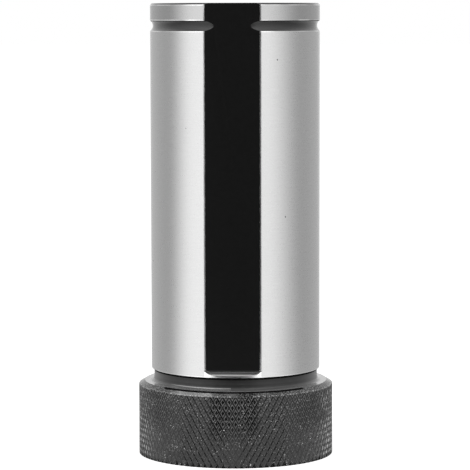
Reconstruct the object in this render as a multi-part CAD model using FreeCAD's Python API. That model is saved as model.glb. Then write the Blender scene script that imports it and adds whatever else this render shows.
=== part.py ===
# Sleeve that carries a round boring bar in the tool block of a lathe turret.
# The sleeve is one piece of steel: a ground shank that slides into the block, and a knurled head to
# grip by hand. Socket set screws in a flat along the back of the shank clamp the bar in the bore.
# The sleeve stands on the face of its head. Z runs up the bore, the plain flat faces -Y and the flat
# with the screws faces +Y. All lengths are in millimetres and all angles in degrees.

import FreeCAD, Part
import math
import os

# Shank and bore
shank_diameter = 32.0
ground_length = 69.0
bore_diameter = 20.0
free_end_chamfer = 0.3
shank_foot_chamfer = 0.3
bore_mouth_chamfer = 1.0
bore_end_chamfer = 0.6

# Head, which stands out beyond the shank by its rim
head_rim = 2.5
head_height = 14.0
head_chamfer_width = 1.2
head_chamfer_height = 0.7

# Grinding relief between the head and the ground shank, with a slanted corner at the head
relief_width = 2.4
relief_depth = 0.5
relief_corner = 0.8

# Round-bottomed ring groove near the free end
ring_groove_from_end = 4.2
ring_groove_depth = 0.5
ring_groove_radius = 1.2

# Milled flats, one on each side. They run out at the free end, and at the other end the cutter's
# round edge comes up through the shank just inside its foot chamfer
flat_width = 10.4
flat_fillet = 1.2
flat_into_chamfer = 0.1

# Diamond knurl on the head: distance between grooves, their slant and their depth, and the narrow
# ring that is left plain between the grooves' floors and the chamfer
knurl_pitch = 1.03
knurl_slant = 30.0
knurl_depth = 0.35
plain_ring = 0.05

# Clamp screws and their tapped holes, counted up from the head
screw_thread = 6.0
screw_clearance = 0.05
screw_count = 4
screw_spacing = 14.0
first_screw_above_head = 13.0
screw_inset = 0.1
screw_point_diameter = 4.0
screw_edge_chamfer = 0.4
hole_countersink = 0.4
socket_across_flats = 3.0
socket_depth = 2.0
socket_turn = 17.0

# Sizes that follow from those above
shank_radius = shank_diameter / 2
bore_radius = bore_diameter / 2
relief_radius = shank_radius - relief_depth
head_radius = shank_radius + head_rim
knurl_root_radius = head_radius - knurl_depth
knurl_length = head_height - head_chamfer_height
ground_start = head_height + relief_width
overall_length = ground_start + ground_length
flat_distance = math.sqrt(shank_radius**2 - (flat_width / 2) ** 2)
flat_end = ground_start + shank_foot_chamfer - flat_into_chamfer
ring_groove_height = overall_length - ring_groove_from_end

# The knurled rim is built by itself and joined to the core along this radius, midway through the
# wall of the head
rim_seam_radius = (bore_radius + knurl_root_radius) / 2

# Room that a cutting or trimming solid has beyond the metal that it shapes
overshoot = 1.0

ORIGIN = FreeCAD.Vector(0, 0, 0)
UP = FreeCAD.Vector(0, 0, 1)


def profile_point(radius, height):
    """A point of a turned profile, in the plane of X and Z."""
    return FreeCAD.Vector(radius, 0, height)


def line(start, end):
    return Part.makeLine(profile_point(*start), profile_point(*end))


def arc(start, middle, end):
    points = [profile_point(*p) for p in (start, middle, end)]
    return Part.Arc(*points).toShape()


def lines_through(corners):
    return [line(a, b) for a, b in zip(corners, corners[1:])]


def turned(edges):
    """The solid of revolution about Z of a closed profile, given as edges in order."""
    return Part.Face(Part.Wire(edges)).revolve(ORIGIN, UP, 360)


def ring_groove_edges():
    """The groove's arc, from its lower to its upper edge."""
    centre_radius = shank_radius - ring_groove_depth + ring_groove_radius
    half_width = math.sqrt(ring_groove_radius**2 - (centre_radius - shank_radius) ** 2)
    lower = (shank_radius, ring_groove_height - half_width)
    bottom = (shank_radius - ring_groove_depth, ring_groove_height)
    upper = (shank_radius, ring_groove_height + half_width)
    return lower, upper, arc(lower, bottom, upper)


def turned_core():
    """Shank, relief, bore, and the head's chamfer and inside, as they leave the lathe."""
    groove_lower, groove_upper, groove_arc = ring_groove_edges()
    up_to_groove = [
        (shank_radius - free_end_chamfer, overall_length),
        (bore_radius + bore_end_chamfer, overall_length),
        (bore_radius, overall_length - bore_end_chamfer),
        (bore_radius, bore_mouth_chamfer),
        (bore_radius + bore_mouth_chamfer, 0),
        (rim_seam_radius, 0),
        (rim_seam_radius, knurl_length),
        (knurl_root_radius - plain_ring, knurl_length),
        (head_radius - head_chamfer_width, head_height),
        (relief_radius + relief_corner, head_height),
        (relief_radius, head_height + relief_corner),
        (relief_radius, ground_start),
        (shank_radius - shank_foot_chamfer, ground_start),
        (shank_radius, ground_start + shank_foot_chamfer),
        groove_lower,
    ]
    past_groove = [
        groove_upper,
        (shank_radius, overall_length - free_end_chamfer),
        up_to_groove[0],
    ]
    return turned(lines_through(up_to_groove) + [groove_arc] + lines_through(past_groove))


def flat_cutter(side):
    """The metal that the milling cutter takes off one side of the shank. The cutter's rounded edge
    leaves a fillet at the flat's closed end. Side is 1 for the back and -1 for the front."""

    def point(out, height):
        return FreeCAD.Vector(-shank_radius, side * out, height)

    top = overall_length + overshoot
    outside = shank_radius + flat_fillet + overshoot
    in_from_centre = flat_fillet * math.sqrt(0.5)
    fillet = Part.Arc(
        point(flat_distance, flat_end + flat_fillet),
        point(flat_distance + flat_fillet - in_from_centre, flat_end + flat_fillet - in_from_centre),
        point(flat_distance + flat_fillet, flat_end),
    ).toShape()
    corners = [
        point(flat_distance + flat_fillet, flat_end),
        point(outside, flat_end),
        point(outside, top),
        point(flat_distance, top),
        point(flat_distance, flat_end + flat_fillet),
    ]
    edges = [fillet] + [Part.makeLine(a, b) for a, b in zip(corners, corners[1:])]
    face = Part.Face(Part.Wire(edges))
    return face.extrude(FreeCAD.Vector(shank_diameter, 0, 0))


def screw_heights():
    first = head_height + first_screw_above_head
    return [first + i * screw_spacing for i in range(screw_count)]


def across_shank(shape, out, height):
    """Lays a shape that was built up Z along +Y, with its foot at that distance from the bore's
    axis and its axis at that height."""
    shape.rotate(ORIGIN, FreeCAD.Vector(1, 0, 0), -90)
    shape.translate(FreeCAD.Vector(0, out, height))
    return shape


def tapped_hole(height):
    """One tapped hole through the back wall, with its countersunk mouth in the flat."""
    hole_radius = screw_thread / 2
    hole = Part.makeCylinder(hole_radius, shank_radius + overshoot)
    mouth = Part.makeCone(
        hole_radius, hole_radius + hole_countersink + overshoot, hole_countersink + overshoot
    )
    mouth.translate(FreeCAD.Vector(0, 0, flat_distance - hole_countersink))
    return across_shank(hole.fuse(mouth), 0, height)


def knurl_facets(teeth, rows, row_height):
    """The faces of the knurled rim: the pyramids of the diamond knurl as flat triangles, and both
    of its ends.

    Two sets of V grooves cross at corners that lie on level rows, and each diamond between them
    rises to a point on the row through its middle. On each next row the corners and points shift
    by half a tooth."""
    tooth_angle = 2 * math.pi / teeth

    def point(row, column, radius):
        angle = column * tooth_angle
        return FreeCAD.Vector(radius * math.cos(angle), radius * math.sin(angle), row * row_height)

    def triangle(a, b, c):
        return Part.Face(Part.makePolygon([a, b, c, a]))

    faces = []
    for row in range(rows + 1):
        end_outline = []
        for tooth in range(teeth):
            first_column = tooth + row % 2 / 2
            left = point(row, first_column, knurl_root_radius)
            tip = point(row, first_column + 0.5, head_radius)
            right = point(row, first_column + 1, knurl_root_radius)
            end_outline += [left, tip]
            for next_row in (row - 1, row + 1):
                if 0 <= next_row <= rows:
                    far = point(next_row, first_column + 0.5, knurl_root_radius)
                    faces += [triangle(left, tip, far), triangle(tip, right, far)]
        if row in (0, rows):
            faces.append(Part.Face(Part.makePolygon(end_outline + end_outline[:1])))
    return faces


def knurled_rim():
    """The outer ring of the head, with the knurl rolled on it. Whole rows of diamonds fill its
    height, so the knurl's slant follows from them to within a fraction of a degree."""
    circumference = 2 * math.pi * head_radius
    slant = math.radians(knurl_slant)
    teeth = 2 * round(circumference * math.cos(slant) / knurl_pitch / 2)
    rows = round(knurl_length * 2 * math.tan(slant) * teeth / circumference)
    facets = knurl_facets(teeth, rows, knurl_length / rows)
    inside = Part.makeCylinder(rim_seam_radius, knurl_length)
    return Part.Solid(Part.Shell(facets)).cut(inside)


def sleeve_body():
    """The whole sleeve: turned, milled, drilled and knurled from one piece."""
    cuts = [flat_cutter(-1), flat_cutter(1)]
    cuts += [tapped_hole(height) for height in screw_heights()]
    body = turned_core().cut(cuts).fuse(knurled_rim())
    return body.removeSplitter().Solids[0]


def hexagon_socket(length, turn):
    """The key's socket, from the screw's top down."""
    corner_radius = socket_across_flats / math.sqrt(3)
    corners = []
    for corner in range(7):
        angle = math.radians(60 * corner + turn)
        corners.append(
            FreeCAD.Vector(corner_radius * math.cos(angle), corner_radius * math.sin(angle), length)
        )
    return Part.Face(Part.makePolygon(corners)).extrude(-UP * socket_depth)


def clamp_screw(height, turn):
    """One socket set screw with a flat point, wound in until its point is just short of the bore."""
    length = flat_distance - bore_radius - 2 * screw_inset
    outer = screw_thread / 2 - screw_clearance
    point = screw_point_diameter / 2
    corners = [
        (0, 0),
        (point, 0),
        (outer, outer - point),
        (outer, length - screw_edge_chamfer),
        (outer - screw_edge_chamfer, length),
        (0, length),
        (0, 0),
    ]
    screw = turned(lines_through(corners)).cut(hexagon_socket(length, turn))
    return across_shank(screw, bore_radius + screw_inset, height)


def main():
    os.makedirs("parts", exist_ok=True)
    sleeve_body().exportStep("parts/sleeve_body.step")
    for i, height in enumerate(screw_heights()):
        screw = clamp_screw(height, i * socket_turn)
        screw.exportStep(f"parts/clamp_screw_{i + 1}.step")


main()
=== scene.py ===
import bmesh
import bpy
import math
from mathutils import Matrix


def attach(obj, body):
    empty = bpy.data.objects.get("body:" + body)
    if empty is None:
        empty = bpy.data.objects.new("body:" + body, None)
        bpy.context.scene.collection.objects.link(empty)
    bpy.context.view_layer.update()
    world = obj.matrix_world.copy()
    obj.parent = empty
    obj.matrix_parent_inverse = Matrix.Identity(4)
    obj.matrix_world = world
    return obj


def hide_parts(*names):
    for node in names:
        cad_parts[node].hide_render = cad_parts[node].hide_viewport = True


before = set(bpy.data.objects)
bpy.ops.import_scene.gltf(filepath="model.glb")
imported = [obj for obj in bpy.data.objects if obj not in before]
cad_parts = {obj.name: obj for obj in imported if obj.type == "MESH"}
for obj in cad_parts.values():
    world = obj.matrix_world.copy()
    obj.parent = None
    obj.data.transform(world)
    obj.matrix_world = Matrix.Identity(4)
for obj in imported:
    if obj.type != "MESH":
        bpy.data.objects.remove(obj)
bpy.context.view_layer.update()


# The sleeve, turned from one steel bar: the outside profile from the bore's mouth in the head, up
# over the head, the relief neck, the ground shank and its ring groove, and back down the bore.
# A ring is drawn out along that profile corner by corner, as the turning tool goes.

MM = 0.001
SHANK_RADIUS = 16.0
HEAD_RADIUS = 18.5
HEAD_HEIGHT = 14.0
HEAD_CHAMFER_WIDTH = 1.2
HEAD_CHAMFER_HEIGHT = 0.7
NECK_RADIUS = 15.5
NECK_FILLET = 0.8
GROUND_START = 16.38
FOOT_CHAMFER = 0.06
TOP = 85.4
TOP_CHAMFER = 0.3
GROOVE_HEIGHT = 81.2
GROOVE_DEPTH = 0.5
GROOVE_ROUND = 1.2
BORE_RADIUS = 10.0
BORE_MOUTH_CHAMFER = 1.0
BORE_END_CHAMFER = 0.6
WORN_EDGE = 0.03
# Widths of the bands of painted shade under the shank, on the head's chamfer and on its top face.
SHADE_UNDER_SHANK = 0.42
SHADE_ON_CHAMFER = 0.34
SHADE_ON_TOP_FACE = 0.5
AROUND = 256


def start_mesh():
    """Leaves edit mode and deselects everything, so that an operator meets only the next piece."""
    if bpy.context.mode != "OBJECT":
        bpy.ops.object.mode_set(mode="OBJECT")
    bpy.ops.object.select_all(action="DESELECT")


def draw_ring_along(corners):
    """Extrudes the selected ring about Z from corner to corner of a (radius, height) profile."""
    for (radius, height), (next_radius, next_height) in zip(corners, corners[1:]):
        bpy.ops.mesh.extrude_edges_move(
            TRANSFORM_OT_translate={"value": (0, 0, (next_height - height) * MM)}
        )
        growth = next_radius / radius
        bpy.ops.transform.resize(value=(growth, growth, 1), center_override=(0, 0, 0))


def arc(centre, radius, first_degrees, last_degrees, steps):
    """Points of an arc in a (radius, height) profile."""
    turns = [first_degrees + (last_degrees - first_degrees) * i / steps for i in range(steps + 1)]
    return [
        (
            centre[0] + radius * math.cos(math.radians(turn)),
            centre[1] + radius * math.sin(math.radians(turn)),
        )
        for turn in turns
    ]


def close_and_face_out():
    """Merges the seam, and turns every face outwards."""
    bpy.ops.mesh.select_all(action="SELECT")
    bpy.ops.mesh.remove_doubles(threshold=0.0005 * MM)
    bpy.ops.mesh.normals_make_consistent(inside=False)
    bpy.ops.object.mode_set(mode="OBJECT")


groove_centre = SHANK_RADIUS - GROOVE_DEPTH + GROOVE_ROUND
groove_half_turn = math.degrees(math.acos((groove_centre - SHANK_RADIUS) / GROOVE_ROUND))
groove_half_width = GROOVE_ROUND * math.sin(math.radians(groove_half_turn))
worn_turn = math.degrees(WORN_EDGE / GROOVE_ROUND)
profile = [
    (BORE_RADIUS + BORE_MOUTH_CHAMFER, 0),
    (HEAD_RADIUS, 0),
    (HEAD_RADIUS, HEAD_HEIGHT - HEAD_CHAMFER_HEIGHT),
    # Extra corners on the chamfer, the top face and the neck bound bands of painted shade.
    (
        HEAD_RADIUS - HEAD_CHAMFER_WIDTH + SHADE_ON_CHAMFER,
        HEAD_HEIGHT - SHADE_ON_CHAMFER * HEAD_CHAMFER_HEIGHT / HEAD_CHAMFER_WIDTH,
    ),
    (HEAD_RADIUS - HEAD_CHAMFER_WIDTH, HEAD_HEIGHT),
    (HEAD_RADIUS - HEAD_CHAMFER_WIDTH - SHADE_ON_TOP_FACE, HEAD_HEIGHT),
    *arc((NECK_RADIUS + NECK_FILLET, HEAD_HEIGHT + NECK_FILLET), NECK_FILLET, 270, 180, 8),
    (NECK_RADIUS, GROUND_START - SHADE_UNDER_SHANK),
    (NECK_RADIUS, GROUND_START),
    (SHANK_RADIUS - FOOT_CHAMFER, GROUND_START),
    (SHANK_RADIUS, GROUND_START + FOOT_CHAMFER),
    (SHANK_RADIUS, GROOVE_HEIGHT - groove_half_width - WORN_EDGE),
    *arc(
        (groove_centre, GROOVE_HEIGHT),
        GROOVE_ROUND,
        180 + groove_half_turn - worn_turn,
        180 - groove_half_turn + worn_turn,
        12,
    ),
    (SHANK_RADIUS, GROOVE_HEIGHT + groove_half_width + WORN_EDGE),
    (SHANK_RADIUS, TOP - TOP_CHAMFER),
    (SHANK_RADIUS - TOP_CHAMFER, TOP),
    (BORE_RADIUS + BORE_END_CHAMFER, TOP),
    (BORE_RADIUS, TOP - BORE_END_CHAMFER),
    (BORE_RADIUS, BORE_MOUTH_CHAMFER),
    (BORE_RADIUS + BORE_MOUTH_CHAMFER, 0),
]

start_mesh()
bpy.ops.mesh.primitive_circle_add(vertices=AROUND, radius=profile[0][0] * MM)
sleeve = bpy.context.object
sleeve.name = "turned_sleeve"
bpy.ops.object.mode_set(mode="EDIT")
draw_ring_along(profile)
close_and_face_out()


# The two milled flats. A block with one rounded edge stands for what the milling cutter takes off
# the front; turned half way round, the same block takes off the back.

FLAT_WIDTH = 10.4
FLAT_DISTANCE = math.sqrt(SHANK_RADIUS**2 - (FLAT_WIDTH / 2) ** 2)
FLAT_FILLET = 1.2
FLAT_END = GROUND_START + 0.15
CLEAR = 1.0
HAIR = 0.02


def select_edges(chosen):
    """In edit mode, selects the edges for which chosen(end, other end), in millimetres, is true."""
    mesh = bmesh.from_edit_mesh(bpy.context.object.data)
    bpy.context.tool_settings.mesh_select_mode = (False, True, False)
    for face in mesh.faces:
        face.select_set(False)
    for edge in mesh.edges:
        edge.select_set(chosen(edge.verts[0].co / MM, edge.verts[1].co / MM))
    mesh.select_flush_mode()
    bmesh.update_edit_mesh(bpy.context.object.data)


def cut_with(piece, cutter, operation="DIFFERENCE"):
    """Cuts a piece with another, which is used up."""
    start_mesh()
    bpy.context.view_layer.objects.active = piece
    modifier = piece.modifiers.new("cut", "BOOLEAN")
    modifier.operation = operation
    modifier.solver = "EXACT"
    modifier.object = cutter
    bpy.ops.object.modifier_apply(modifier=modifier.name)
    bpy.data.objects.remove(cutter)


def place_block(low, high):
    """A block between two corners in millimetres, left in edit mode."""
    start_mesh()
    centre = [(a + b) / 2 * MM for a, b in zip(low, high)]
    size = [(b - a) * MM for a, b in zip(low, high)]
    bpy.ops.mesh.primitive_cube_add(size=1)
    bpy.ops.object.mode_set(mode="EDIT")
    bpy.ops.mesh.select_all(action="SELECT")
    bpy.ops.transform.resize(value=size)
    bpy.ops.transform.translate(value=centre)
    return bpy.context.object


for half_turns in range(2):
    milled = place_block(
        (-SHANK_RADIUS, -SHANK_RADIUS - 2 * CLEAR, FLAT_END),
        (SHANK_RADIUS, -FLAT_DISTANCE, TOP + CLEAR),
    )
    select_edges(
        lambda a, b: max(a.z, b.z) < FLAT_END + HAIR and min(a.y, b.y) > -FLAT_DISTANCE - HAIR
    )
    bpy.ops.mesh.bevel(offset=FLAT_FILLET * MM, segments=8)
    bpy.ops.mesh.select_all(action="SELECT")
    bpy.ops.transform.rotate(
        value=math.pi * half_turns, orient_axis="Z", center_override=(0, 0, 0)
    )
    start_mesh()
    cut_with(sleeve, milled)


# The long edges of both flats, which handling and the tool block have worn round: a narrow bevel
# along each. The ground steel makes it brighter, partly as polish and partly as a painted
# highlight.

EDGE_WEAR = 0.2

bpy.context.view_layer.objects.active = sleeve
bpy.ops.object.mode_set(mode="EDIT")
select_edges(
    lambda a, b: all(
        abs(abs(end.x) - FLAT_WIDTH / 2) < HAIR and abs(abs(end.y) - FLAT_DISTANCE) < HAIR
        for end in (a, b)
    )
)
bpy.ops.mesh.bevel(offset=EDGE_WEAR * MM, segments=2)
start_mesh()


# The diamond knurl of the head, pressed in by two crossing knurling wheels. One blunt diamond, a
# little hollow on top, is modelled between its grooves and set round the head in a row. The rows
# are stacked with a shift of half a diamond. This skin, with a wall behind it, cuts the head.

TEETH = 98
KNURL_ROWS = 13
KNURL_TOP = HEAD_HEIGHT - HEAD_CHAMFER_HEIGHT
ROW_HEIGHT = KNURL_TOP / KNURL_ROWS
KNURL_DEPTH = 0.145
ROOT_RADIUS = HEAD_RADIUS - KNURL_DEPTH
RIM_BELOW_HEAD = 0.06
HALF_FLOOR = 0.05
FLANK = 0.18
CRATER_RIM = 0.03
CRATER_DEPTH = 0.025
DIE_RADIUS = HEAD_RADIUS + CLEAR


def select_vertices(chosen):
    """In edit mode, selects the vertices for which chosen(place), in millimetres, is true."""
    mesh = bmesh.from_edit_mesh(bpy.context.object.data)
    bpy.context.tool_settings.mesh_select_mode = (True, False, False)
    for vertex in mesh.verts:
        vertex.select_set(chosen(vertex.co / MM))
    mesh.select_flush_mode()
    bmesh.update_edit_mesh(bpy.context.object.data)


half_tooth = math.pi / TEETH
side = ROOT_RADIUS * math.sin(half_tooth)
start_mesh()
bpy.ops.mesh.primitive_circle_add(
    vertices=4, radius=side * MM, fill_type="NGON", rotation=(math.pi / 2, 0, 0)
)
die = bpy.context.object
die.name = "knurling_die"
bpy.ops.object.transform_apply(rotation=True)
bpy.ops.object.mode_set(mode="EDIT")
bpy.ops.mesh.select_all(action="SELECT")
bpy.ops.transform.resize(value=(1, 1, ROW_HEIGHT / side))
bpy.ops.transform.translate(value=(0, -ROOT_RADIUS * MM, 0))
select_vertices(lambda place: abs(place.x) > 0.5 * side)
bpy.ops.transform.translate(value=(0, ROOT_RADIUS * (1 - math.cos(half_tooth)) * MM, 0))
bpy.context.tool_settings.mesh_select_mode = (False, False, True)
bpy.ops.mesh.select_all(action="SELECT")
bpy.ops.mesh.inset(thickness=HALF_FLOOR * MM, depth=0)
bpy.ops.mesh.inset(thickness=FLANK * MM, depth=0)
bpy.ops.transform.translate(value=(0, -(KNURL_DEPTH - RIM_BELOW_HEAD) * MM, 0))
bpy.ops.mesh.inset(thickness=CRATER_RIM * MM, depth=0)
bpy.ops.transform.translate(value=(0, CRATER_DEPTH * MM, 0))
bpy.ops.mesh.select_all(action="SELECT")
bpy.ops.mesh.spin(
    steps=TEETH,
    dupli=True,
    angle=2 * math.pi,
    center=(0, 0, 0),
    axis=(0, 0, 1),
    use_auto_merge=True,
)
bpy.ops.mesh.select_all(action="SELECT")
bpy.ops.mesh.remove_doubles(threshold=0.002 * MM)
for _ in range(KNURL_ROWS + 2):
    bpy.ops.mesh.duplicate()
    bpy.ops.transform.translate(value=(0, 0, ROW_HEIGHT * MM))
    bpy.ops.transform.rotate(value=half_tooth, orient_axis="Z", center_override=(0, 0, 0))
bpy.ops.mesh.select_all(action="SELECT")
bpy.ops.transform.translate(value=(0, 0, -ROW_HEIGHT * MM))
bpy.ops.mesh.remove_doubles(threshold=0.002 * MM)
bpy.ops.mesh.select_all(action="DESELECT")
bpy.context.tool_settings.mesh_select_mode = (False, True, False)
bpy.ops.mesh.select_non_manifold()
bpy.ops.mesh.extrude_edges_move(TRANSFORM_OT_translate={"value": (0, 0, 0)})
bpy.ops.transform.resize(
    value=(DIE_RADIUS / ROOT_RADIUS, DIE_RADIUS / ROOT_RADIUS, 1), center_override=(0, 0, 0)
)
bpy.ops.mesh.bridge_edge_loops()
close_and_face_out()


# Four tapped holes, M6 by 1, through the back wall into the bore, each with a countersunk mouth.
# The tap is a thread drawn up one turn at a time, trimmed flat at both ends and laid along Y.

THREAD_PITCH = 1.0
HOLE_RADIUS = 3.0
HOLE_THREAD_DEPTH = 0.22
HOLE_COUNTERSINK = 0.4
FIRST_SCREW = HEAD_HEIGHT + 13.0
SCREW_SPACING = 14.0
SCREW_COUNT = 4
TAP_LOW = BORE_RADIUS - CLEAR
TAP_HIGH = FLAT_DISTANCE + CLEAR


def thread(name, blank, radius, depth):
    """A blank about Z, which is used up, with a thread of that root radius and depth cut in it."""
    low = min(corner[2] for corner in blank.bound_box) / MM - THREAD_PITCH
    high = max(corner[2] for corner in blank.bound_box) / MM + THREAD_PITCH
    start_mesh()
    bpy.ops.mesh.primitive_plane_add(size=THREAD_PITCH * MM, rotation=(math.pi / 2, 0, 0))
    rod = bpy.context.object
    rod.name = name
    bpy.ops.object.transform_apply(rotation=True)
    bpy.ops.object.mode_set(mode="EDIT")
    select_vertices(lambda place: place.x > 0)
    bpy.ops.mesh.delete(type="VERT")
    bpy.ops.mesh.select_all(action="SELECT")
    bpy.ops.transform.translate(value=((radius + THREAD_PITCH / 2) * MM, 0, low * MM))
    bpy.ops.mesh.subdivide(number_cuts=7)
    select_vertices(lambda place: abs(place.z - low) < 0.3 * THREAD_PITCH)
    bpy.ops.transform.translate(value=(depth / 2 * MM, 0, 0))
    select_vertices(lambda place: abs(place.z - low) < 0.2 * THREAD_PITCH)
    bpy.ops.transform.translate(value=(depth / 2 * MM, 0, 0))
    start_mesh()
    bpy.context.view_layer.objects.active = rod
    winding = rod.modifiers.new("winding", "SCREW")
    winding.screw_offset = THREAD_PITCH * MM
    winding.iterations = math.ceil((high - low) / THREAD_PITCH)
    winding.steps = winding.render_steps = 40
    bpy.ops.object.modifier_apply(modifier=winding.name)
    bpy.ops.object.mode_set(mode="EDIT")
    bpy.ops.mesh.select_all(action="SELECT")
    bpy.ops.mesh.remove_doubles(threshold=0.001 * MM)
    bpy.ops.mesh.fill_holes(sides=0)
    close_and_face_out()
    cut_with(rod, blank, "INTERSECT")
    return rod


def lay_across_shank(height):
    """In edit mode, turns what was made up Z to point along +Y, at that height."""
    bpy.ops.mesh.select_all(action="SELECT")
    bpy.ops.transform.rotate(value=math.pi / 2, orient_axis="X", center_override=(0, 0, 0))
    bpy.ops.transform.translate(value=(0, 0, height * MM))


def copy_up_row():
    """In edit mode, copies what is selected to the place of each further screw."""
    for _ in range(SCREW_COUNT - 1):
        bpy.ops.mesh.duplicate()
        bpy.ops.transform.translate(value=(0, 0, SCREW_SPACING * MM))


start_mesh()
bpy.ops.mesh.primitive_cone_add(
    vertices=64,
    radius1=HOLE_RADIUS * MM,
    radius2=(HOLE_RADIUS + HOLE_COUNTERSINK + CLEAR) * MM,
    depth=(HOLE_COUNTERSINK + CLEAR) * MM,
    location=(0, 0, (FLAT_DISTANCE + (CLEAR - HOLE_COUNTERSINK) / 2) * MM),
)
countersink = bpy.context.object
bpy.ops.object.transform_apply(location=True)
bpy.ops.object.mode_set(mode="EDIT")
lay_across_shank(FIRST_SCREW)
copy_up_row()
start_mesh()
cut_with(sleeve, countersink)
bpy.ops.mesh.primitive_cylinder_add(
    vertices=64,
    radius=(HOLE_RADIUS + CLEAR) * MM,
    depth=(TAP_HIGH - TAP_LOW) * MM,
    location=(0, 0, (TAP_HIGH + TAP_LOW) / 2 * MM),
)
tap_blank = bpy.context.object
bpy.ops.object.transform_apply(location=True)
tap = thread("tap", tap_blank, HOLE_RADIUS, HOLE_THREAD_DEPTH)
bpy.ops.object.mode_set(mode="EDIT")
lay_across_shank(FIRST_SCREW)
copy_up_row()
start_mesh()
cut_with(sleeve, tap)
cut_with(sleeve, die)


# The sleeve's finishes. The shank and the bore are ground bright after the whole sleeve has been
# blackened in a hot oxide bath, so the flats, the ring groove, the neck, the head and both end
# faces stay black. Handling wears that black off the knurl and the edges.


def linear(hex_colour):
    """An sRGB hex colour as the linear colour that a shader takes."""
    parts = [int(hex_colour[i : i + 2], 16) / 255 for i in (1, 3, 5)]
    return (*[v / 12.92 if v <= 0.04045 else ((v + 0.055) / 1.055) ** 2.4 for v in parts], 1)


def add(tree, kind, settings=(), links=()):
    """A node of that kind with its properties or inputs set, and its inputs linked."""
    node = tree.nodes.new(kind)
    for name, value in dict(settings).items():
        if isinstance(name, str) and hasattr(node, name):
            setattr(node, name, value)
        else:
            node.inputs[name].default_value = value
    for name, source in dict(links).items():
        tree.links.new(source, node.inputs[name])
    return node


def start_material(name):
    """A material with an empty node tree."""
    made = bpy.data.materials.new(name)
    made.use_nodes = True
    made.node_tree.nodes.clear()
    return made, made.node_tree


def place_in_millimetres(tree):
    place = add(tree, "ShaderNodeTexCoord").outputs["Object"]
    return add(
        tree, "ShaderNodeVectorMath", {"operation": "SCALE", "Scale": 1 / MM}, {0: place}
    ).outputs[0]


# Cylindrically ground steel: bright, with the wheel's short fine scratches round the shank, a soft
# sheen along the axis and a few tiny pits. Its edges are whiter in patches, partly polish and
# partly a painted highlight, and the land beyond the ring groove is darker. Scratches of 0.01 mm
# can't show, so they are 0.12 mm apart.
SCRATCH_SPACING = 0.12
SCRATCH_LENGTH = 2.5
MOTTLE = 0.3
PIT_SPACING = 4.6
PIT_RADIUS = 0.13
PIT_WOBBLE = 0.25
POLISH_AND_HIGHLIGHT_EDGE = 0.15
POLISH_AND_HIGHLIGHT_PATCH = 5.0
EDGE_WOBBLE = 0.2
FLATS_BEYOND = 12.0

ground_steel, tree = start_material("cylindrically_ground_steel")
place = place_in_millimetres(tree)
stretched = add(
    tree,
    "ShaderNodeMapping",
    {"Scale": (1 / SCRATCH_LENGTH, 1 / SCRATCH_LENGTH, 1 / SCRATCH_SPACING)},
    {"Vector": place},
)
scratches = add(
    tree, "ShaderNodeTexNoise", {"Scale": 1.0, "Detail": 2.0}, {"Vector": stretched.outputs[0]}
)
mottle = add(tree, "ShaderNodeTexNoise", {"Scale": 1 / MOTTLE, "Detail": 2.0}, {"Vector": place})
grain = add(
    tree,
    "ShaderNodeMath",
    {"operation": "MULTIPLY_ADD", 1: 0.5},
    {0: scratches.outputs["Fac"]},
)
half_mottle = add(
    tree, "ShaderNodeMath", {"operation": "MULTIPLY", 1: 0.5}, {0: mottle.outputs["Fac"]}
)
tree.links.new(half_mottle.outputs[0], grain.inputs[2])
roughness = add(
    tree,
    "ShaderNodeMapRange",
    {"From Min": 0.3, "From Max": 0.7, "To Min": 0.26, "To Max": 0.32},
    {"Value": grain.outputs[0]},
)
tint = add(
    tree,
    "ShaderNodeMix",
    {"data_type": "RGBA", 6: linear("#c6c6c6"), 7: linear("#dedede")},
    {0: grain.outputs[0]},
)
axes = add(tree, "ShaderNodeSeparateXYZ", {}, {0: place})
# The land above the ring groove is tinted darker.
on_land = add(
    tree,
    "ShaderNodeMath",
    {"operation": "GREATER_THAN", 1: GROOVE_HEIGHT},
    {0: axes.outputs["Z"]},
)
land_share = add(
    tree, "ShaderNodeMath", {"operation": "MULTIPLY", 1: 0.5}, {0: on_land.outputs[0]}
)
land_tint = add(
    tree,
    "ShaderNodeMix",
    {"data_type": "RGBA", 7: linear("#a9a9a9")},
    {0: land_share.outputs[0], 6: tint.outputs[2]},
)
wobble = add(
    tree,
    "ShaderNodeVectorMath",
    {"operation": "MULTIPLY_ADD", 1: (PIT_WOBBLE,) * 3},
    {0: mottle.outputs["Color"], 2: place},
)
cells = add(
    tree, "ShaderNodeTexVoronoi", {"Scale": 1 / PIT_SPACING}, {"Vector": wobble.outputs[0]}
)
in_pit = add(
    tree,
    "ShaderNodeMath",
    {"operation": "LESS_THAN", 1: PIT_RADIUS / PIT_SPACING},
    {0: cells.outputs["Distance"]},
)
pitted = add(
    tree,
    "ShaderNodeMix",
    {"data_type": "RGBA", 7: linear("#5c5c5c")},
    {0: in_pit.outputs[0], 6: land_tint.outputs[2]},
)
from_groove = add(
    tree, "ShaderNodeMath", {"operation": "SUBTRACT", 1: GROOVE_HEIGHT}, {0: axes.outputs["Z"]}
)
either_side = add(tree, "ShaderNodeMath", {"operation": "ABSOLUTE"}, {0: from_groove.outputs[0]})
past_lip = add(
    tree,
    "ShaderNodeMath",
    {"operation": "SUBTRACT", 1: groove_half_width},
    {0: either_side.outputs[0]},
)
past_foot = add(
    tree, "ShaderNodeMath", {"operation": "SUBTRACT", 1: GROUND_START}, {0: axes.outputs["Z"]}
)
below_top = add(
    tree,
    "ShaderNodeMath",
    {"operation": "SUBTRACT", 0: TOP - TOP_CHAMFER},
    {1: axes.outputs["Z"]},
)
off_middle = add(tree, "ShaderNodeMath", {"operation": "ABSOLUTE"}, {0: axes.outputs["X"]})
past_flat = add(
    tree,
    "ShaderNodeMath",
    {"operation": "SUBTRACT", 1: (FLAT_WIDTH - EDGE_WEAR) / 2},
    {0: off_middle.outputs[0]},
)
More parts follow.
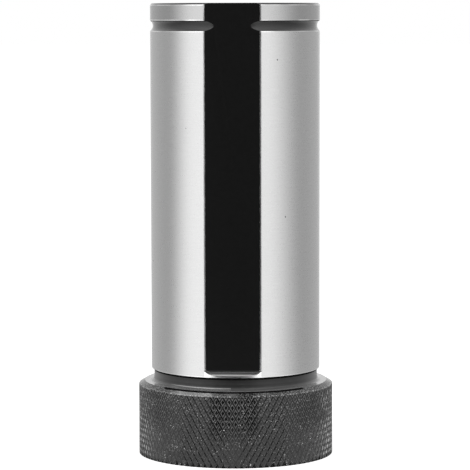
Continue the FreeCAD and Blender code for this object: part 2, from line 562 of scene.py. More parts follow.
to_side = add(tree, "ShaderNodeMath", {"operation": "ABSOLUTE"}, {0: axes.outputs["Y"]})
clear_of_flats = add(
    tree, "ShaderNodeMath", {"operation": "SUBTRACT", 0: FLATS_BEYOND}, {1: to_side.outputs[0]}
)
past_flat = add(
    tree,
    "ShaderNodeMath",
    {"operation": "MAXIMUM"},
    {0: past_flat.outputs[0], 1: clear_of_flats.outputs[0]},
)
from_edge = past_lip
for other in (past_foot, below_top, past_flat):
    from_edge = add(
        tree,
        "ShaderNodeMath",
        {"operation": "MINIMUM"},
        {0: from_edge.outputs[0], 1: other.outputs[0]},
    )
from_edge = add(
    tree,
    "ShaderNodeMath",
    {"operation": "MULTIPLY_ADD", 1: EDGE_WOBBLE},
    {0: mottle.outputs["Fac"], 2: from_edge.outputs[0]},
)
# Edges whiter in patches: partly polish, partly a painted highlight along them.
polish_and_highlight = add(
    tree,
    "ShaderNodeMapRange",
    {
        "From Min": POLISH_AND_HIGHLIGHT_EDGE + 0.4 * EDGE_WOBBLE,
        "From Max": POLISH_AND_HIGHLIGHT_EDGE + 0.7 * EDGE_WOBBLE,
        "To Min": 1.0,
        "To Max": 0.0,
    },
    {"Value": from_edge.outputs[0]},
)
patches = add(
    tree, "ShaderNodeTexNoise", {"Scale": 1 / POLISH_AND_HIGHLIGHT_PATCH, "Detail": 1.0}, {"Vector": place}
)
patchy = add(
    tree,
    "ShaderNodeMapRange",
    {"From Min": 0.38, "From Max": 0.55, "To Min": 0.15, "To Max": 1.0},
    {"Value": patches.outputs["Fac"]},
)
polish_and_highlight = add(
    tree,
    "ShaderNodeMath",
    {"operation": "MULTIPLY"},
    {0: polish_and_highlight.outputs[0], 1: patchy.outputs[0]},
)
edge_tint = add(
    tree,
    "ShaderNodeMix",
    {"data_type": "RGBA", 7: linear("#ffffff")},
    {0: polish_and_highlight.outputs[0], 6: pitted.outputs[2]},
)
bump = add(
    tree,
    "ShaderNodeBump",
    {"Strength": 0.12, "Distance": 0.01 * MM},
    {"Height": scratches.outputs["Fac"]},
)
round_axis = add(tree, "ShaderNodeTangent", {"direction_type": "RADIAL", "axis": "Z"})
shader = add(
    tree,
    "ShaderNodeBsdfPrincipled",
    {"Metallic": 1.0, "Anisotropic": 0.4, "Anisotropic Rotation": 0.25},
    {
        "Base Color": edge_tint.outputs[2],
        "Roughness": roughness.outputs[0],
        "Normal": bump.outputs[0],
        "Tangent": round_axis.outputs[0],
    },
)
add(tree, "ShaderNodeOutputMaterial", {}, {"Surface": shader.outputs[0]})

# Black oxide on turned steel: a thin black skin that keeps the lathe's fine rings under it, with an
# oily sheen, duller on the neck. Feed marks of 0.05 mm are drawn 0.2 mm apart. The ring groove has
# painted shade, black at the top and greyer low down. The head's top face and the fillet beside it
# are a little bright, with a painted highlight in fine rings on the front left.
FEED_MARK = 0.2
TURNED_CLOUD = 1.11
BLACK_ROUGHNESS = 0.22
NECK_ROUGHNESS = 0.48
HIGHLIGHT_FROM = -10.0
HIGHLIGHT_TO = -0.4
HIGHLIGHT_FADE = 2.0


def distance_from_axis(tree, place):
    across = add(
        tree, "ShaderNodeVectorMath", {"operation": "MULTIPLY", 1: (1, 1, 0)}, {0: place}
    )
    length = add(tree, "ShaderNodeVectorMath", {"operation": "LENGTH"}, {0: across.outputs[0]})
    return length.outputs["Value"]


def painted_highlight_side_of_head(tree, axes, fade):
    """1 in front on the left of the middle, where a highlight is painted on the head, and 0
    elsewhere. It fades out near the middle over the length fade, in millimetres."""
    left = add(
        tree,
        "ShaderNodeMapRange",
        {"From Min": HIGHLIGHT_FROM - HIGHLIGHT_FADE, "From Max": HIGHLIGHT_FROM},
        {"Value": axes.outputs["X"]},
    )
    before_middle = add(
        tree,
        "ShaderNodeMapRange",
        {"From Min": HIGHLIGHT_TO, "From Max": HIGHLIGHT_TO + fade, "To Min": 1.0, "To Max": 0.0},
        {"Value": axes.outputs["X"]},
    )
    in_front = add(
        tree, "ShaderNodeMath", {"operation": "LESS_THAN", 1: 0.0}, {0: axes.outputs["Y"]}
    )
    both = add(
        tree,
        "ShaderNodeMath",
        {"operation": "MULTIPLY"},
        {0: left.outputs[0], 1: before_middle.outputs[0]},
    )
    return add(
        tree,
        "ShaderNodeMath",
        {"operation": "MULTIPLY"},
        {0: both.outputs[0], 1: in_front.outputs[0]},
    )


black_turned, tree = start_material("black_oxide_on_turned_steel")
place = place_in_millimetres(tree)
axes = add(tree, "ShaderNodeSeparateXYZ", {}, {0: place})
from_axis = distance_from_axis(tree, place)
ring_place = add(tree, "ShaderNodeCombineXYZ", {}, {"X": from_axis, "Y": axes.outputs["Z"]})
rings = add(
    tree,
    "ShaderNodeTexNoise",
    {"Scale": 1 / FEED_MARK, "Detail": 2.0},
    {"Vector": ring_place.outputs[0]},
)
cloud = add(
    tree, "ShaderNodeTexNoise", {"Scale": 1 / TURNED_CLOUD, "Detail": 4.0}, {"Vector": place}
)
streaky = add(
    tree,
    "ShaderNodeMath",
    {"operation": "MULTIPLY_ADD", 1: 2.0, 2: -0.5},
    {0: rings.outputs["Fac"]},
)
patchy = add(
    tree, "ShaderNodeMath", {"operation": "MULTIPLY", "use_clamp": True}, {0: streaky.outputs[0]}
)
tree.links.new(cloud.outputs["Fac"], patchy.inputs[1])
tint = add(
    tree,
    "ShaderNodeMix",
    {"data_type": "RGBA", 6: linear("#1a1a1a"), 7: linear("#404040")},
    {0: patchy.outputs[0]},
)
# Painted shade in the ring groove: black at the top, where it faces down, and grey low down.
in_groove = add(
    tree,
    "ShaderNodeMath",
    {"operation": "COMPARE", 1: GROOVE_HEIGHT, 2: groove_half_width + 0.1},
    {0: axes.outputs["Z"]},
)
low_in_groove = add(
    tree,
    "ShaderNodeMapRange",
    {"From Min": GROOVE_HEIGHT + 0.4, "From Max": GROOVE_HEIGHT - 0.8},
    {"Value": axes.outputs["Z"]},
)
groove_shade_tint = add(
    tree,
    "ShaderNodeMix",
    {"data_type": "RGBA", 6: linear("#060606"), 7: linear("#3e3e3e")},
    {0: low_in_groove.outputs[0]},
)
tinted = add(
    tree,
    "ShaderNodeMix",
    {"data_type": "RGBA"},
    {0: in_groove.outputs[0], 6: tint.outputs[2], 7: groove_shade_tint.outputs[2]},
)
low_on_neck = add(
    tree,
    "ShaderNodeMapRange",
    {
        "From Min": HEAD_HEIGHT + 0.5 * NECK_FILLET,
        "From Max": HEAD_HEIGHT + 0.8 * NECK_FILLET,
        "To Min": 1.0,
        "To Max": 0.0,
    },
    {"Value": axes.outputs["Z"]},
)
on_head = add(
    tree,
    "ShaderNodeMath",
    {"operation": "GREATER_THAN", 1: HEAD_HEIGHT - 0.01},
    {0: axes.outputs["Z"]},
)
near_head = add(
    tree,
    "ShaderNodeMath",
    {"operation": "MULTIPLY"},
    {0: low_on_neck.outputs[0], 1: on_head.outputs[0]},
)
on_top_face = add(
    tree,
    "ShaderNodeMapRange",
    {
        "From Min": NECK_RADIUS + 0.7 * NECK_FILLET,
        "From Max": NECK_RADIUS + NECK_FILLET,
        "To Min": 0.08,
        "To Max": 0.22,
    },
    {"Value": from_axis},
)
# A painted highlight in fine rings on the front left of the top face and the fillet.
highlight_side = painted_highlight_side_of_head(tree, axes, 0.01)
fine_rings = add(
    tree,
    "ShaderNodeMapRange",
    {"From Min": 0.44, "From Max": 0.54, "To Max": 0.9},
    {"Value": rings.outputs["Fac"]},
)
side_rings = add(
    tree,
    "ShaderNodeMath",
    {"operation": "MULTIPLY_ADD"},
    {0: fine_rings.outputs[0], 1: highlight_side.outputs[0], 2: on_top_face.outputs[0]},
)
rub_and_highlight = add(
    tree,
    "ShaderNodeMath",
    {"operation": "MULTIPLY"},
    {0: side_rings.outputs[0], 1: near_head.outputs[0]},
)
glancing = add(tree, "ShaderNodeLayerWeight", {"Blend": 0.5})
glancing = add(
    tree, "ShaderNodeMath", {"operation": "POWER", 1: 3.0}, {0: glancing.outputs["Facing"]}
)
glossy = add(
    tree,
    "ShaderNodeMath",
    {"operation": "MULTIPLY_ADD", 1: 0.75, "use_clamp": True},
    {0: glancing.outputs[0], 2: rub_and_highlight.outputs[0]},
)
wear_and_highlight_tint = add(
    tree,
    "ShaderNodeMix",
    {"data_type": "RGBA", 7: linear("#d0d0d0")},
    {0: glossy.outputs[0], 6: tinted.outputs[2]},
)
bump = add(
    tree,
    "ShaderNodeBump",
    {"Strength": 0.4, "Distance": 0.01 * MM},
    {"Height": rings.outputs["Fac"]},
)
on_neck = add(
    tree,
    "ShaderNodeMath",
    {
        "operation": "COMPARE",
        1: (GROUND_START + HEAD_HEIGHT + 0.5 * NECK_FILLET) / 2,
        2: (GROUND_START - HEAD_HEIGHT - 0.5 * NECK_FILLET) / 2,
    },
    {0: axes.outputs["Z"]},
)
roughness = add(
    tree,
    "ShaderNodeMath",
    {"operation": "MULTIPLY_ADD", 1: NECK_ROUGHNESS - BLACK_ROUGHNESS, 2: BLACK_ROUGHNESS},
    {0: on_neck.outputs[0]},
)
shader = add(
    tree,
    "ShaderNodeBsdfPrincipled",
    {"IOR": 1.5},
    {
        "Base Color": wear_and_highlight_tint.outputs[2],
        "Metallic": glossy.outputs[0],
        "Roughness": roughness.outputs[0],
        "Normal": bump.outputs[0],
    },
)
add(tree, "ShaderNodeOutputMaterial", {}, {"Surface": shader.outputs[0]})

# Painted shade in the sharp corner under the shank, under the ring groove's upper lip, along the
# top of the head's chamfer in front and behind, and round the head's foot: a dead black line, a
# little uneven.
SHADE_PATCH = 0.5
SHADE_REACH = 13.0
SHADE_IN_GROOVE = 0.8
SHADE_ON_LOWER_EDGE = 0.3

painted_shade, tree = start_material("painted_shade_in_corners")
place = place_in_millimetres(tree)
lumps = add(
    tree,
    "ShaderNodeTexNoise",
    {"Scale": 1 / SHADE_PATCH, "Detail": 2.0},
    {"Vector": place},
)
uneven = add(
    tree,
    "ShaderNodeMapRange",
    {"From Min": 0.5, "From Max": 0.75},
    {"Value": lumps.outputs["Fac"]},
)
tint = add(
    tree,
    "ShaderNodeMix",
    {"data_type": "RGBA", 6: linear("#020202"), 7: linear("#262626")},
    {0: uneven.outputs[0]},
)
shader = add(
    tree,
    "ShaderNodeBsdfPrincipled",
    {"Roughness": 0.7, "Specular IOR Level": 0.08},
    {"Base Color": tint.outputs[2]},
)
add(tree, "ShaderNodeOutputMaterial", {}, {"Surface": shader.outputs[0]})

# Black oxide on the rolled knurl: a deep black, darkest in the grooves. It is worn to bright steel
# in flecks on the diamonds' rims, with fewer low down as painted shade, and in a speckled line
# round the chamfer, with a painted highlight on the front left. Diamonds that are seen at a low
# angle glint here and there.
WORN_RIM = 0.02
FLECK = 0.16
SPECK = 0.2
SPECK_PATCH = 2.5
CHAMFER_SPECK = 0.22
GLINT = 0.6
SHADE_DEEPEST_BELOW = 3.0
SHADE_GONE_ABOVE = 11.0

black_knurl, tree = start_material("black_oxide_on_rolled_knurl")
place = place_in_millimetres(tree)
axes = add(tree, "ShaderNodeSeparateXYZ", {}, {0: place})
from_axis = distance_from_axis(tree, place)
flecks = add(tree, "ShaderNodeTexNoise", {"Scale": 1 / FLECK, "Detail": 2.0}, {"Vector": place})
on_ridge = add(
    tree,
    "ShaderNodeMapRange",
    {
        "From Min": HEAD_RADIUS - RIM_BELOW_HEAD - WORN_RIM,
        "From Max": HEAD_RADIUS - RIM_BELOW_HEAD,
    },
    {"Value": from_axis},
)
here_and_there = add(
    tree,
    "ShaderNodeMapRange",
    {"From Min": 0.3, "From Max": 0.6},
    {"Value": flecks.outputs["Fac"]},
)
ridge_wear_and_shade = add(
    tree,
    "ShaderNodeMath",
    {"operation": "MULTIPLY"},
    {0: on_ridge.outputs[0], 1: here_and_there.outputs[0]},
)
# Fewer worn flecks low down: painted shade on the head's lower rows.
shade_low_down = add(
    tree,
    "ShaderNodeMapRange",
    {"From Min": SHADE_DEEPEST_BELOW, "From Max": SHADE_GONE_ABOVE, "To Min": 0.3, "To Max": 0.85},
    {"Value": axes.outputs["Z"]},
)
ridge_wear_and_shade = add(
    tree,
    "ShaderNodeMath",
    {"operation": "MULTIPLY"},
    {0: ridge_wear_and_shade.outputs[0], 1: shade_low_down.outputs[0]},
)
on_top = add(
    tree,
    "ShaderNodeMapRange",
    {
        "From Min": HEAD_RADIUS - RIM_BELOW_HEAD - CRATER_DEPTH - WORN_RIM,
        "From Max": HEAD_RADIUS - RIM_BELOW_HEAD - CRATER_DEPTH,
    },
    {"Value": from_axis},
)
glancing = add(tree, "ShaderNodeLayerWeight", {"Blend": 0.5})
glancing = add(
    tree,
    "ShaderNodeMapRange",
    {"From Min": 0.45, "From Max": 0.68},
    {"Value": glancing.outputs["Facing"]},
)
glints = add(tree, "ShaderNodeTexNoise", {"Scale": 1 / GLINT, "Detail": 0.0}, {"Vector": place})
glints = add(
    tree,
    "ShaderNodeMapRange",
    {"From Min": 0.48, "From Max": 0.6, "To Max": 0.75},
    {"Value": glints.outputs["Fac"]},
)
gloss_on_top = add(
    tree,
    "ShaderNodeMath",
    {"operation": "MULTIPLY"},
    {0: on_top.outputs[0], 1: glancing.outputs[0]},
)
gloss_on_top = add(
    tree,
    "ShaderNodeMath",
    {"operation": "MULTIPLY"},
    {0: gloss_on_top.outputs[0], 1: glints.outputs[0]},
)
ridge_wear_and_shade = add(
    tree,
    "ShaderNodeMath",
    {"operation": "MAXIMUM"},
    {0: ridge_wear_and_shade.outputs[0], 1: gloss_on_top.outputs[0]},
)
tiny = add(tree, "ShaderNodeTexNoise", {"Scale": 1 / SPECK, "Detail": 0.0}, {"Vector": place})
rare = add(
    tree,
    "ShaderNodeMapRange",
    {"From Min": 0.72, "From Max": 0.78, "To Max": 0.8},
    {"Value": tiny.outputs["Fac"]},
)
clusters = add(
    tree, "ShaderNodeTexNoise", {"Scale": 1 / SPECK_PATCH, "Detail": 1.0}, {"Vector": place}
)
clustered = add(
    tree,
    "ShaderNodeMapRange",
    {"From Min": 0.42, "From Max": 0.58},
    {"Value": clusters.outputs["Fac"]},
)
bright_specks = add(
    tree,
    "ShaderNodeMath",
    {"operation": "MULTIPLY"},
    {0: rare.outputs[0], 1: clustered.outputs[0]},
)
ridge_wear_and_shade = add(
    tree,
    "ShaderNodeMath",
    {"operation": "MAXIMUM"},
    {0: ridge_wear_and_shade.outputs[0], 1: bright_specks.outputs[0]},
)
on_chamfer = add(
    tree,
    "ShaderNodeMapRange",
    {"From Min": KNURL_TOP - 0.15, "From Max": KNURL_TOP},
    {"Value": axes.outputs["Z"]},
)
off_its_edge = add(
    tree,
    "ShaderNodeMapRange",
    {"From Min": KNURL_TOP + 0.1, "From Max": KNURL_TOP + 0.25, "To Min": 0.9, "To Max": 0.4},
    {"Value": axes.outputs["Z"]},
)
# The chamfer's speckles are brightest on the front left: a painted highlight.
highlight_side = painted_highlight_side_of_head(tree, axes, HIGHLIGHT_FADE)
wear_and_highlight_side = add(
    tree,
    "ShaderNodeMath",
    {"operation": "MAXIMUM"},
    {0: off_its_edge.outputs[0], 1: highlight_side.outputs[0]},
)
specks = add(
    tree, "ShaderNodeTexNoise", {"Scale": 1 / CHAMFER_SPECK, "Detail": 1.0}, {"Vector": place}
)
speckled = add(
    tree,
    "ShaderNodeMapRange",
    {"From Min": 0.5, "From Max": 0.62},
    {"Value": specks.outputs["Fac"]},
)
speckled = add(
    tree,
    "ShaderNodeMath",
    {"operation": "MULTIPLY_ADD", 1: 0.4, "use_clamp": True},
    {0: highlight_side.outputs[0], 2: speckled.outputs[0]},
)
chamfer_wear_and_highlight = add(
    tree,
    "ShaderNodeMath",
    {"operation": "MULTIPLY"},
    {0: on_chamfer.outputs[0], 1: speckled.outputs[0]},
)
chamfer_wear_and_highlight = add(
    tree,
    "ShaderNodeMath",
    {"operation": "MULTIPLY"},
    {0: chamfer_wear_and_highlight.outputs[0], 1: wear_and_highlight_side.outputs[0]},
)
# Wear and glints, with the painted highlight on the chamfer and the painted shade low down.
worn = add(
    tree,
    "ShaderNodeMath",
    {"operation": "MAXIMUM"},
    {0: ridge_wear_and_shade.outputs[0], 1: chamfer_wear_and_highlight.outputs[0]},
)
out_of_groove = add(
    tree,
    "ShaderNodeMapRange",
    {"From Min": ROOT_RADIUS, "From Max": ROOT_RADIUS + 0.3 * KNURL_DEPTH},
    {"Value": from_axis},
)
depth_shade = add(
    tree,
    "ShaderNodeMath",
    {"operation": "MAXIMUM"},
    {0: out_of_groove.outputs[0], 1: on_chamfer.outputs[0]},
)
tint = add(
    tree,
    "ShaderNodeMix",
    {"data_type": "RGBA", 6: linear("#040404"), 7: linear("#141414")},
    {0: depth_shade.outputs[0]},
)
bare_steel = add(
    tree,
    "ShaderNodeMix",
    {"data_type": "RGBA", 6: linear("#d0d0d0"), 7: linear("#ffffff")},
    {0: gloss_on_top.outputs[0]},
)
wear_and_highlight_tint = add(
    tree,
    "ShaderNodeMix",
    {"data_type": "RGBA"},
    {0: worn.outputs[0], 6: tint.outputs[2], 7: bare_steel.outputs[2]},
)
bump = add(
    tree,
    "ShaderNodeBump",
    {"Strength": 0.15, "Distance": 0.02 * MM},
    {"Height": flecks.outputs["Fac"]},
)
shader = add(
    tree,
    "ShaderNodeBsdfPrincipled",
    {"IOR": 1.5, "Roughness": 0.16},
    {
        "Base Color": wear_and_highlight_tint.outputs[2],
        "Metallic": worn.outputs[0],
        "Normal": bump.outputs[0],
    },
)
add(tree, "ShaderNodeOutputMaterial", {}, {"Surface": shader.outputs[0]})

# Black oxide on the milled flats: a deep, even, matt black. It ends in a line with rounded corners
# at the flat's closed end, where the grinding wheel has brightened the fillet.
BLACK_END = 17.42
BLACK_CORNER = 0.85
BLACK_EDGE = FLAT_WIDTH / 2 - EDGE_WEAR + 0.06
MILLED_CLOUD = 0.667
RAGGED = 0.16
STREAK_WIDTH = 0.1667

black_flat, tree = start_material("black_oxide_on_milled_flat")
place = place_in_millimetres(tree)
axes = add(tree, "ShaderNodeSeparateXYZ", {}, {0: place})
cloud = add(
    tree, "ShaderNodeTexNoise", {"Scale": 1 / MILLED_CLOUD, "Detail": 3.0}, {"Vector": place}
)
tint = add(
    tree,
    "ShaderNodeMix",
    {"data_type": "RGBA", 6: linear("#0a0a0a"), 7: linear("#121212")},
    {0: cloud.outputs["Fac"]},
)
off_middle = add(tree, "ShaderNodeMath", {"operation": "ABSOLUTE"}, {0: axes.outputs["X"]})
past_side = add(
    tree,
    "ShaderNodeMath",
    {"operation": "SUBTRACT", 1: BLACK_EDGE - BLACK_CORNER},
    {0: off_middle.outputs[0]},
)
past_end = add(
    tree,
    "ShaderNodeMath",
    {"operation": "SUBTRACT", 0: BLACK_END + BLACK_CORNER},
    {1: axes.outputs["Z"]},
)
corner_place = add(
    tree, "ShaderNodeCombineXYZ", {}, {"X": past_side.outputs[0], "Y": past_end.outputs[0]}
)
outside_corner = add(
    tree,
    "ShaderNodeVectorMath",
    {"operation": "MAXIMUM", 1: (0, 0, 0)},
    {0: corner_place.outputs[0]},
)
from_corner = add(
    tree, "ShaderNodeVectorMath", {"operation": "LENGTH"}, {0: outside_corner.outputs[0]}
)
streaks = add(
    tree, "ShaderNodeMapping", {"Scale": (1 / STREAK_WIDTH, 1.0, 1.0)}, {"Vector": place}
)
ragged = add(
    tree,
    "ShaderNodeTexNoise",
    {"Scale": 1.0, "Detail": 2.0},
    {"Vector": streaks.outputs[0]},
)
ragged_by = add(
    tree,
    "ShaderNodeMath",
    {"operation": "MULTIPLY_ADD", 1: RAGGED, 2: -RAGGED / 2},
    {0: ragged.outputs["Fac"]},
)
edge_place = add(
    tree,
    "ShaderNodeMath",
    {"operation": "ADD"},
    {0: from_corner.outputs["Value"], 1: ragged_by.outputs[0]},
)
bright = add(
    tree,
    "ShaderNodeMapRange",
    {"From Min": BLACK_CORNER - 0.03, "From Max": BLACK_CORNER + 0.05},
    {"Value": edge_place.outputs[0]},
)
both_tints = add(
    tree,
    "ShaderNodeMix",
    {"data_type": "RGBA", 7: linear("#cccccc")},
    {0: bright.outputs[0], 6: tint.outputs[2]},
)
roughness = add(
    tree,
    "ShaderNodeMapRange",
    {"To Min": 0.5, "To Max": 0.3},
    {"Value": bright.outputs[0]},
)
shader = add(
    tree,
    "ShaderNodeBsdfPrincipled",
    {"Specular IOR Level": 0.15},
    {
        "Base Color": both_tints.outputs[2],
        "Metallic": bright.outputs[0],
        "Roughness": roughness.outputs[0],
    },
)
add(tree, "ShaderNodeOutputMaterial", {}, {"Surface": shader.outputs[0]})

GROUND, TURNED, KNURLED, MILLED, PAINTED_SHADE = range(5)
SMOOTH_BELOW = math.radians(14)


def finish_of(face):
    """Which of the sleeve's finishes a face has, by its place and the way it faces."""
    x, y, height = face.center / MM
    radius = math.hypot(x, y)
    if radius < BORE_RADIUS + 0.05 and BORE_MOUTH_CHAMFER < height < TOP - BORE_END_CHAMFER:
        return GROUND
    # Bands of painted shade: under the shank, round the top of the chamfer in front and behind,
    # under the ring groove's upper lip and round the head's foot.
    if GROUND_START - SHADE_UNDER_SHANK < height < GROUND_START + FOOT_CHAMFER - 0.01:
        return PAINTED_SHADE
    past_top_face = radius - HEAD_RADIUS + HEAD_CHAMFER_WIDTH
    near_chamfer = abs(height - HEAD_HEIGHT) < HEAD_CHAMFER_HEIGHT - HAIR and abs(x) < SHADE_REACH
    if near_chamfer and -SHADE_ON_TOP_FACE < past_top_face < SHADE_ON_CHAMFER:
        return PAINTED_SHADE
    above_groove_floor = SHADE_IN_GROOVE < height - GROOVE_HEIGHT < groove_half_width
    if radius < SHANK_RADIUS - HAIR and above_groove_floor:
        return PAINTED_SHADE
    if height < HEAD_HEIGHT - HAIR and radius > HEAD_RADIUS - HEAD_CHAMFER_WIDTH + HAIR:
        if abs(face.normal.z) > 0.99:
            return TURNED
        # Round the head's foot: painted shade.
        return KNURLED if height > SHADE_ON_LOWER_EDGE else PAINTED_SHADE
    in_flat = FLAT_DISTANCE - HAIR < abs(y) < SHANK_RADIUS and abs(x) < FLAT_WIDTH / 2
    milled = abs(face.normal.x) < 0.01 and abs(face.normal.y) > 0.05
    if in_flat and milled and height > FLAT_END:
        return MILLED
    on_outside = radius > SHANK_RADIUS - 3 * HAIR
    if on_outside and GROUND_START + FOOT_CHAMFER < height < TOP - TOP_CHAMFER:
        in_groove = abs(height - GROOVE_HEIGHT) < groove_half_width - WORN_EDGE
        return TURNED if in_groove else GROUND
    return TURNED


for made in (ground_steel, black_turned, black_knurl, black_flat, painted_shade):
    sleeve.data.materials.append(made)
for face in sleeve.data.polygons:
    face.material_index = finish_of(face)
start_mesh()
sleeve.select_set(True)
bpy.context.view_layer.objects.active = sleeve
bpy.ops.object.shade_smooth_by_angle(angle=SMOOTH_BELOW)

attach(sleeve, "sleeve")
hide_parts("sleeve_body")


# The clamp screws, hardened socket set screws of M6 by 1 with flat points, wound in until they
# are just short of the bore. Each is a thread, trimmed to the blank's chamfers, with its hexagon.

SCREW_INSET = 0.1
SCREW_LOW = BORE_RADIUS + SCREW_INSET
SCREW_HIGH = FLAT_DISTANCE - SCREW_INSET
SCREW_CREST = 2.93
SCREW_THREAD_DEPTH = 0.45
POINT_RADIUS = 2.0
SCREW_CHAMFER = 0.4
SOCKET_ACROSS_FLATS = 3.0
SOCKET_DEPTH = 2.0
SOCKET_CHAMFER = 0.4
CHAMFER_OVERLAP = 0.1
SOCKET_TURN = math.radians(17)
DRILL_LEDGE = 0.25
DRILL_CONE = 0.8
DRILL_CONE_DEPTH = 0.35


def select_faces(chosen):
    """In edit mode, selects the faces for which chosen(centre, normal), in millimetres, is true."""
    mesh = bmesh.from_edit_mesh(bpy.context.object.data)
    bpy.context.tool_settings.mesh_select_mode = (False, False, True)
    for face in mesh.faces:
        face.select_set(chosen(face.calc_center_median() / MM, face.normal))
    mesh.select_flush_mode()
    bmesh.update_edit_mesh(bpy.context.object.data)


start_mesh()
bpy.ops.mesh.primitive_circle_add(
    vertices=48,
    radius=POINT_RADIUS * MM,
    fill_type="NGON",
    location=(0, 0, SCREW_LOW * MM),
)
blank = bpy.context.object
bpy.ops.object.transform_apply(location=True)
bpy.ops.object.mode_set(mode="EDIT")
bpy.ops.mesh.select_all(action="SELECT")
draw_ring_along(
    [
        (POINT_RADIUS, SCREW_LOW),
        (HOLE_RADIUS, SCREW_LOW + HOLE_RADIUS - POINT_RADIUS),
        (HOLE_RADIUS, SCREW_HIGH - SCREW_CHAMFER),
        (HOLE_RADIUS - SCREW_CHAMFER, SCREW_HIGH),
    ]
)
bpy.ops.mesh.edge_face_add()
close_and_face_out()
screw = thread("clamp_screw_blank", blank, SCREW_CREST - SCREW_THREAD_DEPTH, SCREW_THREAD_DEPTH)

start_mesh()
bpy.ops.mesh.primitive_cylinder_add(
    vertices=6,
    radius=SOCKET_ACROSS_FLATS / math.sqrt(3) * MM,
    depth=2 * SOCKET_DEPTH * MM,
    location=(0, 0, SCREW_HIGH * MM),
)
broach = bpy.context.object
bpy.ops.object.transform_apply(location=True)
bpy.ops.object.mode_set(mode="EDIT")
select_faces(lambda centre, normal: normal.z < -0.5)
bpy.ops.mesh.inset(thickness=DRILL_LEDGE * MM)
bpy.ops.mesh.inset(thickness=DRILL_CONE * MM, depth=DRILL_CONE_DEPTH * MM)
start_mesh()
cut_with(screw, broach)
bpy.ops.mesh.primitive_cone_add(
    vertices=48,
    radius1=(SOCKET_ACROSS_FLATS / 2 - CHAMFER_OVERLAP) * MM,
    radius2=(SOCKET_ACROSS_FLATS / 2 + SOCKET_CHAMFER + CLEAR) * MM,
    depth=(CLEAR + SOCKET_CHAMFER + CHAMFER_OVERLAP) * MM,
    location=(0, 0, (SCREW_HIGH + (CLEAR - SOCKET_CHAMFER - CHAMFER_OVERLAP) / 2) * MM),
)
mouth = bpy.context.object
bpy.ops.object.transform_apply(location=True)
cut_with(screw, mouth)

# Black oxide on a hardened set screw: a satin blue-black, lighter where oil has dried on it.
OIL_STAIN = 0.4

black_screw, tree = start_material("black_oxide_on_hardened_screw")
place = place_in_millimetres(tree)
cloud = add(
    tree, "ShaderNodeTexNoise", {"Scale": 1 / OIL_STAIN, "Detail": 3.0}, {"Vector": place}
)
tint = add(
    tree,
    "ShaderNodeMix",
    {"data_type": "RGBA", 6: linear("#17171a"), 7: linear("#2b2b2e")},
    {0: cloud.outputs["Fac"]},
)
roughness = add(
    tree,
    "ShaderNodeMapRange",
    {"From Min": 0.3, "From Max": 0.7, "To Min": 0.28, "To Max": 0.45},
    {"Value": cloud.outputs["Fac"]},
)
shader = add(
    tree,
    "ShaderNodeBsdfPrincipled",
    {"IOR": 1.7},
    {"Base Color": tint.outputs[2], "Roughness": roughness.outputs[0]},
)
add(tree, "ShaderNodeOutputMaterial", {}, {"Surface": shader.outputs[0]})

for number in range(SCREW_COUNT):
    start_mesh()
    screw.select_set(True)
    bpy.context.view_layer.objects.active = screw
    bpy.ops.object.duplicate()
    copy = bpy.context.object
    copy.name = f"socket_set_screw_{number + 1}"
    bpy.ops.object.mode_set(mode="EDIT")
    bpy.ops.mesh.select_all(action="SELECT")
    bpy.ops.transform.rotate(
        value=number * SOCKET_TURN, orient_axis="Z", center_override=(0, 0, 0)
    )
    lay_across_shank(FIRST_SCREW + number * SCREW_SPACING)
    start_mesh()
    copy.select_set(True)
    bpy.ops.object.shade_smooth_by_angle(angle=SMOOTH_BELOW)
    copy.data.materials.append(black_screw)
    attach(copy, f"clamp_screw_{number + 1}")
    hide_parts(f"clamp_screw_{number + 1}")
bpy.data.objects.remove(screw)


# The studio: a white floor and room, and soft light from both sides and above. White here is a
# strength of 1 for what the camera and the metal see.

FLOOR_LIFT = 0.68
ROOM_LIGHT = 0.45


def seen_directly(tree):
    """1 for what the camera, metal and glass see, and 0 for the light that falls on things."""
    rays = add(tree, "ShaderNodeLightPath")
    by_camera_or_metal = add(
        tree,
        "ShaderNodeMath",
        {"operation": "MAXIMUM"},
        {0: rays.outputs["Is Camera Ray"], 1: rays.outputs["Is Glossy Ray"]},
    )
    return add(
        tree,
        "ShaderNodeMath",
        {"operation": "MAXIMUM"},
        {0: by_camera_or_metal.outputs[0], 1: rays.outputs["Is Transmission Ray"]},
    )


start_mesh()
bpy.ops.mesh.primitive_plane_add(size=12)
floor = bpy.context.object
floor.name = "floor"
white_floor, tree = start_material("white_studio_floor")
seen = seen_directly(tree)
lift = add(
    tree, "ShaderNodeMath", {"operation": "MULTIPLY", 1: FLOOR_LIFT}, {0: seen.outputs[0]}
)
paper = add(tree, "ShaderNodeBsdfDiffuse", {"Color": linear("#e8e8e8")})
glow = add(tree, "ShaderNodeEmission", {}, {"Strength": lift.outputs[0]})
both = add(tree, "ShaderNodeAddShader", {}, {0: paper.outputs[0], 1: glow.outputs[0]})
add(tree, "ShaderNodeOutputMaterial", {}, {"Surface": both.outputs[0]})
floor.data.materials.append(white_floor)

world = bpy.data.worlds.new("studio")
bpy.context.scene.world = world
world.use_nodes = True
tree = world.node_tree
tree.nodes.clear()
seen = seen_directly(tree)
room = add(tree, "ShaderNodeBackground", {"Color": (1, 1, 1, 1), "Strength": ROOM_LIGHT})
white = add(tree, "ShaderNodeBackground", {"Color": (1, 1, 1, 1), "Strength": 1.0})
mixed = add(
    tree,
    "ShaderNodeMixShader",
    {},
    {0: seen.outputs[0], 1: room.outputs[0], 2: white.outputs[0]},
)
add(tree, "ShaderNodeOutputWorld", {}, {"Surface": mixed.outputs[0]})


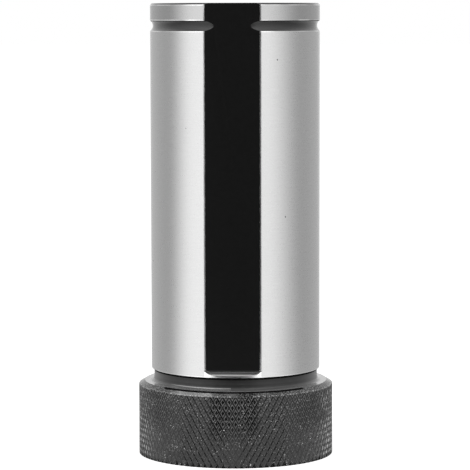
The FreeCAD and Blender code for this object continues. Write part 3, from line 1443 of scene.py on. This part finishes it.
# A tent of graded paper round the sleeve, that only reflections show: black in front, where the
# camera stands, bright at both sides with soft edges, grey further round and white behind.
TENT_FOOT = 0.05
TENT_TOP = 0.2
TENT_HEIGHT = 0.45
TENT_LIFT = 0.2 * MM
BRIGHTEST = 1.4
TENT_SHADES = [
    (-180, 1.0),
    (-165, 1.0),
    (-135, 0.6),
    (-89, 0.48),
    (-50, 1.3),
    (-28, 1.36),
    (-20, 0.03),
    (20, 0.03),
    (28, 1.28),
    (33, 1.26),
    (92, 0.47),
    (135, 0.55),
    (165, 1.0),
    (180, 1.0),
]

start_mesh()
bpy.ops.mesh.primitive_cone_add(
    vertices=96,
    radius1=TENT_FOOT,
    radius2=TENT_TOP,
    depth=TENT_HEIGHT,
    end_fill_type="NOTHING",
    location=(0, 0, TENT_HEIGHT / 2 + TENT_LIFT),
)
tent = bpy.context.object
tent.name = "graded_paper_tent"
paper, tree = start_material("graded_tent_paper")
place = add(tree, "ShaderNodeTexCoord").outputs["Object"]
axes = add(tree, "ShaderNodeSeparateXYZ", {}, {0: place})
forward = add(tree, "ShaderNodeMath", {"operation": "MULTIPLY", 1: -1.0}, {0: axes.outputs["Y"]})
azimuth = add(
    tree,
    "ShaderNodeMath",
    {"operation": "ARCTAN2"},
    {0: axes.outputs["X"], 1: forward.outputs[0]},
)
along = add(
    tree,
    "ShaderNodeMath",
    {"operation": "MULTIPLY_ADD", 1: 1 / (2 * math.pi), 2: 0.5},
    {0: azimuth.outputs[0]},
)
ramp = add(tree, "ShaderNodeValToRGB", {}, {"Fac": along.outputs[0]})
ramp.color_ramp.interpolation = "EASE"
for number, (degrees, shade) in enumerate(TENT_SHADES):
    where = degrees / 360 + 0.5
    stop = ramp.color_ramp.elements[0] if number == 0 else ramp.color_ramp.elements.new(where)
    stop.position = where
    stop.color = (shade / BRIGHTEST,) * 3 + (1,)
ramp.color_ramp.elements.remove(ramp.color_ramp.elements[-1])
glow = add(tree, "ShaderNodeEmission", {"Strength": BRIGHTEST}, {"Color": ramp.outputs["Color"]})
add(tree, "ShaderNodeOutputMaterial", {}, {"Surface": glow.outputs[0]})
tent.data.materials.append(paper)
tent.visible_camera = tent.visible_diffuse = tent.visible_shadow = False
tent.visible_transmission = False

SLEEVE_MIDDLE = 0.04


def softbox(name, turn_degrees, up_degrees, away, size, watts):
    """A soft lamp aimed at the sleeve. Reflections show the paper tent in its place."""
    data = bpy.data.lights.new(name, "AREA")
    data.shape = "RECTANGLE"
    data.size, data.size_y = size
    data.energy = watts
    lamp = bpy.data.objects.new(name, data)
    bpy.context.scene.collection.objects.link(lamp)
    turn, up = math.radians(turn_degrees), math.radians(up_degrees)
    lamp.location = (
        -away * math.sin(turn) * math.cos(up),
        -away * math.cos(turn) * math.cos(up),
        away * math.sin(up) + SLEEVE_MIDDLE,
    )
    lamp.rotation_euler = (math.pi / 2 - up, 0, -turn)
    lamp.visible_camera = False
    lamp.visible_glossy = False


softbox("left_softbox", 48, 30, 1.2, (0.8, 0.8), 6)
softbox("right_softbox", -47, 30, 1.2, (0.8, 0.8), 5)


# The camera, level with the top of the sleeve and turned slightly from the front.
CAMERA_AWAY = 463.96
CAMERA_UP = 83.58
CAMERA_TURN = math.radians(1.94)
CAMERA_DOWN = 0.0904
CAMERA_ROLL = 0.0021

camera_data = bpy.data.cameras.new("camera")
camera_data.sensor_width = 36
camera_data.lens = 187.75
camera_data.shift_x = 0.0002
camera = bpy.data.objects.new("camera", camera_data)
bpy.context.scene.collection.objects.link(camera)
camera.location = (
    CAMERA_AWAY * math.sin(CAMERA_TURN) * MM,
    -CAMERA_AWAY * math.cos(CAMERA_TURN) * MM,
    CAMERA_UP * MM,
)
camera.rotation_euler = (math.pi / 2 - CAMERA_DOWN, CAMERA_ROLL, CAMERA_TURN)
camera_data.clip_start = 0.01
camera_data.clip_end = 50
bpy.context.scene.camera = camera
bpy.context.scene.view_settings.view_transform = "Standard"
